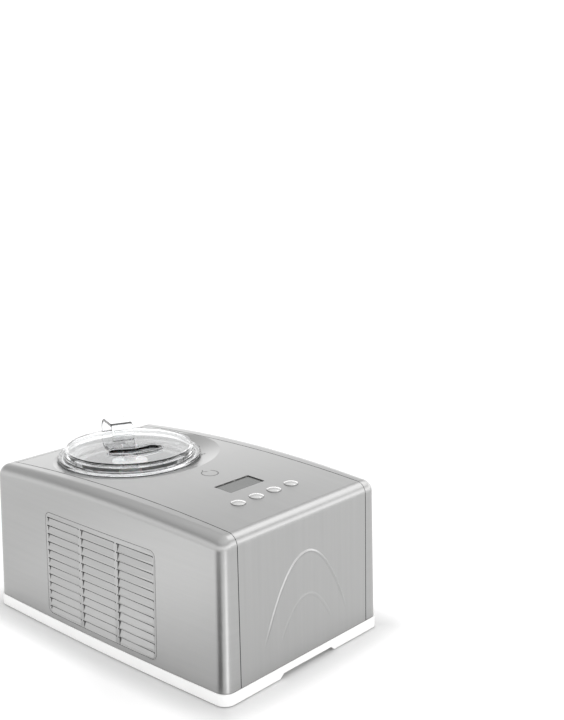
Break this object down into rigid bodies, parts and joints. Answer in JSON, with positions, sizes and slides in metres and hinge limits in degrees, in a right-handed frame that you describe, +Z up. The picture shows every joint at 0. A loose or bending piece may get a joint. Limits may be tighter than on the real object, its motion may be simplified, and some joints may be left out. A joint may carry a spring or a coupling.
{
  "type": "ice cream maker",
  "caption": "Self-cooling countertop ice cream maker: steel housing with louvres, lift-out bowl with bail, churning paddle and clear lid.",
  "frame": {"origin": "middle of the footprint, on the surface the feet stand on", "axes": "+Z up, +Y from the control end to the back along the length, +X to the right seen from the control end"},
  "size_m": [0.285, 0.425, 0.2318],
  "materials": {
    "steel_housing": "satin, brushed",
    "white_base": "semi-gloss white",
    "foot_rubber": "matt",
    "collar_steel": "bright",
    "well_aluminium": "satin",
    "jacket_aluminium": "mill finish",
    "foam": "foam",
    "black_rubber": "matt",
    "dark_plastic": "moulded",
    "bush_brass": "sintered",
    "shaft_steel": "ground",
    "gear_plastic": "moulded",
    "motor_steel": "zinc grey",
    "compressor_black": "semi-gloss black",
    "zinc_steel": "zinc plated",
    "fin_aluminium": "mill finish",
    "copper": "copper",
    "board_green": "solder resist",
    "component_black": "moulded",
    "post_plastic": "nylon",
    "display_lens": "grey liquid crystal under a clear lens",
    "button_silver": "metallised",
    "inlet_black": "moulded",
    "pin_brass": "plated",
    "screw_steel": "zinc plated",
    "bowl_aluminium": "satin anodised",
    "tube_white": "translucent white",
    "bail_steel": "polished wire",
    "paddle_white": "translucent white",
    "lid_clear": "clear"
  },
  "bodies": {
    "housing": {"back_panel": "steel_housing", "base_tray": "white_base", "board_posts": "post_plastic", "board_standoffs": "post_plastic", "button_switches": "component_black", "capillary_tube": "copper", "case_screws": "screw_steel", "collar_ring": "collar_steel", "compressor": "compressor_black", "compressor_grommets": "black_rubber", "compressor_plate": "zinc_steel", "compressor_terminal_cover": "dark_plastic", "condenser_fins": "fin_aluminium", "condenser_tube": "copper", "control_board": "board_green", "corner_brackets": "zinc_steel", "discharge_tube": "copper", "display_module": "dark_plastic", "display_window": "display_lens", "drive_motor": "motor_steel", "evaporator_jacket": "jacket_aluminium", "fan_motor": "motor_steel", "fan_shroud": "dark_plastic", "filter_drier": "copper", "gearbox_cover": "dark_plastic", "gearbox_housing": "dark_plastic", "idler_axle": "shaft_steel", "inlet_pins": "pin_brass", "insulation_block": "foam", "left_louvre_panel": "steel_housing", "left_side_shell": "steel_housing", "liquid_tube": "copper", "mains_inlet": "inlet_black", "power_board": "board_green", "power_components": "component_black", "right_louvre_panel": "steel_housing", "right_side_shell": "steel_housing", "rubber_feet": "foot_rubber", "shaft_bushes": "bush_brass", "shaft_seal": "black_rubber", "suction_tube": "copper", "top_front_cover": "steel_housing", "well_can": "well_aluminium"},
    "drive_shaft": {"drive_shaft": "shaft_steel", "output_gear": "gear_plastic"},
    "idler": {"idler_gear": "gear_plastic"},
    "motor_rotor": {"motor_pinion": "gear_plastic"},
    "fan": {"fan_rotor": "dark_plastic"},
    "bowl": {"bowl_shell": "bowl_aluminium", "bowl_tube": "tube_white", "bail_ears": "bail_steel"},
    "bail": {"bail": "bail_steel"},
    "stem_cap": {"stem_cap": "paddle_white"},
    "paddle": {"paddle": "paddle_white"},
    "lid": {"lid": "lid_clear", "lid_handle": "lid_clear"},
    "button_1": {"button_1": "button_silver"},
    "button_2": {"button_2": "button_silver"},
    "button_3": {"button_3": "button_silver"},
    "button_4": {"button_4": "button_silver"}
  },
  "joints": [
    {"name": "bowl_lift", "type": "slide", "parent": "housing", "child": "bowl", "axis": [0, 0, 1], "range_m": [0, 0.207]},
    {"name": "paddle_lift", "type": "slide", "parent": "bowl", "child": "stem_cap", "axis": [0, 0, 1], "range_m": [0, 0.252]},
    {"name": "lid_lift", "type": "slide", "parent": "stem_cap", "child": "lid", "axis": [0, 0, 1], "range_m": [0, 0.082]},
    {"name": "bail_swing", "type": "hinge", "parent": "bowl", "child": "bail", "pos_m": [0, 0.098, 0.1885], "axis": [0.6691, -0.7431, 0], "range_deg": [0, 90]},
    {"name": "shaft_spin", "type": "hinge", "parent": "housing", "child": "drive_shaft", "pos_m": [0, 0.098, 0.1], "axis": [0, 0, 1], "continuous": true},
    {"name": "paddle_spin", "type": "hinge", "parent": "stem_cap", "child": "paddle", "pos_m": [0, 0.098, 0.1], "axis": [0, 0, 1], "continuous": true},
    {"name": "idler_spin", "type": "hinge", "parent": "housing", "child": "idler", "pos_m": [0, 0.02285, 0.02], "axis": [0, 0, 1], "continuous": true},
    {"name": "pinion_spin", "type": "hinge", "parent": "housing", "child": "motor_rotor", "pos_m": [0, -0.0178, 0.02], "axis": [0, 0, 1], "continuous": true},
    {"name": "fan_spin", "type": "hinge", "parent": "housing", "child": "fan", "pos_m": [-0.1, -0.05, 0.088], "axis": [1, 0, 0], "continuous": true},
    {"name": "button_1_press", "type": "slide", "parent": "housing", "child": "button_1", "axis": [0, 0, -1], "range_m": [0, 0.0012], "stiffness_N_per_m": 400},
    {"name": "button_2_press", "type": "slide", "parent": "housing", "child": "button_2", "axis": [0, 0, -1], "range_m": [0, 0.0012], "stiffness_N_per_m": 400},
    {"name": "button_3_press", "type": "slide", "parent": "housing", "child": "button_3", "axis": [0, 0, -1], "range_m": [0, 0.0012], "stiffness_N_per_m": 400},
    {"name": "button_4_press", "type": "slide", "parent": "housing", "child": "button_4", "axis": [0, 0, -1], "range_m": [0, 0.0012], "stiffness_N_per_m": 400}
  ],
  "couplings": [
    {"joint": "paddle_spin", "follows": "shaft_spin", "ratio": 1},
    {"joint": "idler_spin", "follows": "shaft_spin", "ratio": -1.5},
    {"joint": "pinion_spin", "follows": "shaft_spin", "ratio": 4.2857},
    {"joint": "bail_swing", "follows": "lid_lift", "rad_per_m": 19.1}
  ]
}
